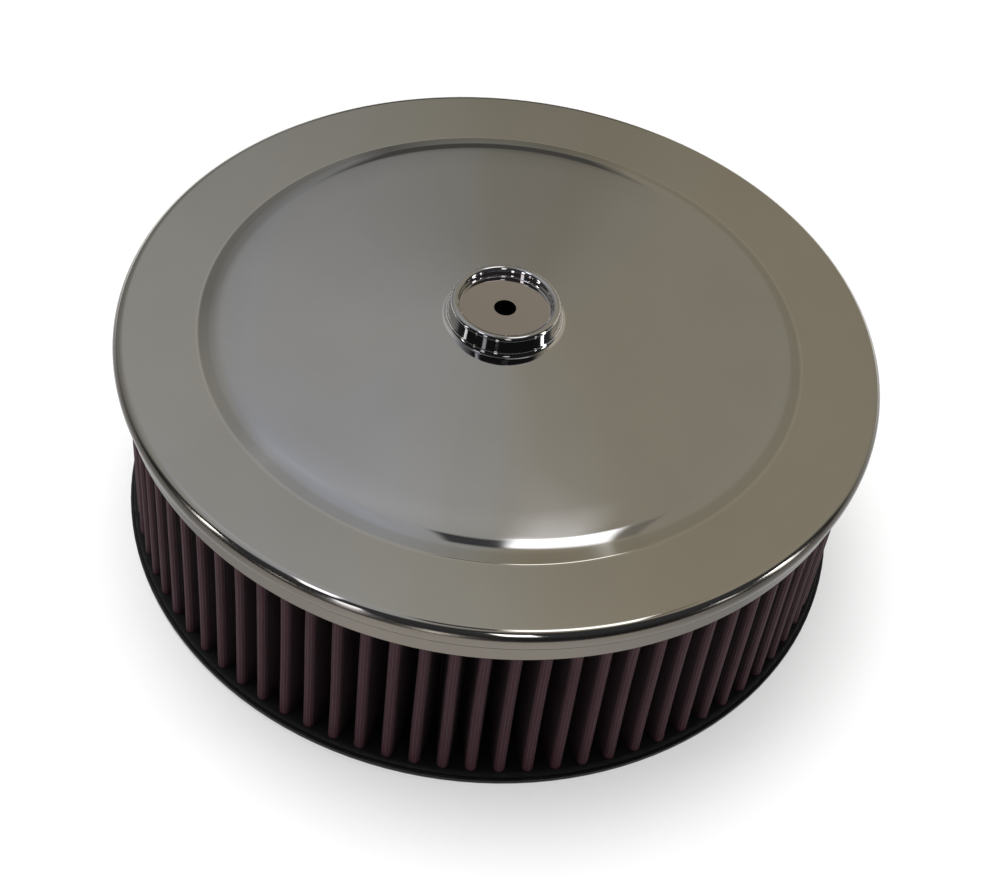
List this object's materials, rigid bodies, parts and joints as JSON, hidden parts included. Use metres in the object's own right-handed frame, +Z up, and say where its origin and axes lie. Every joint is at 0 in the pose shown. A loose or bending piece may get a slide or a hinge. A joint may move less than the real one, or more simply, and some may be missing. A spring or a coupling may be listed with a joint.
{
  "type": "flame arrestor",
  "caption": "Round marine flame arrestor: a plated pressed lid with a raised centre boss over a red pleated gauze element, on a black drop base with a carburettor neck.",
  "frame": {"origin": "centre of the base's underside, in the plane that the part rests on", "axes": "+Z up through the stud hole; the picture looks along +Y from in front and above, with +X to the right"},
  "size_m": [0.3556, 0.3556, 0.1312],
  "materials": {
    "lid_plating": "polished",
    "seal_rubber": "satin",
    "coated_wire": "satin",
    "oiled_gauze": "oiled",
    "screen_steel": "satin",
    "hoop_steel": "satin",
    "base_paint": "semi-gloss",
    "gasket_rubber": "matt",
    "breather_steel": "zinc plated"
  },
  "bodies": {
    "root": {"lid": "lid_plating", "top_end_seal": "seal_rubber", "bottom_end_seal": "seal_rubber", "outer_wire_cloth": "coated_wire", "oiled_gauze": "oiled_gauze", "inner_wire_cloth": "coated_wire", "flame_screen": "screen_steel", "screen_top_hoop": "hoop_steel", "screen_bottom_hoop": "hoop_steel", "base_plate": "base_paint", "neck_gasket": "gasket_rubber", "breather_tube_left": "breather_steel", "breather_tube_right": "breather_steel"}
  },
  "joints": []
}
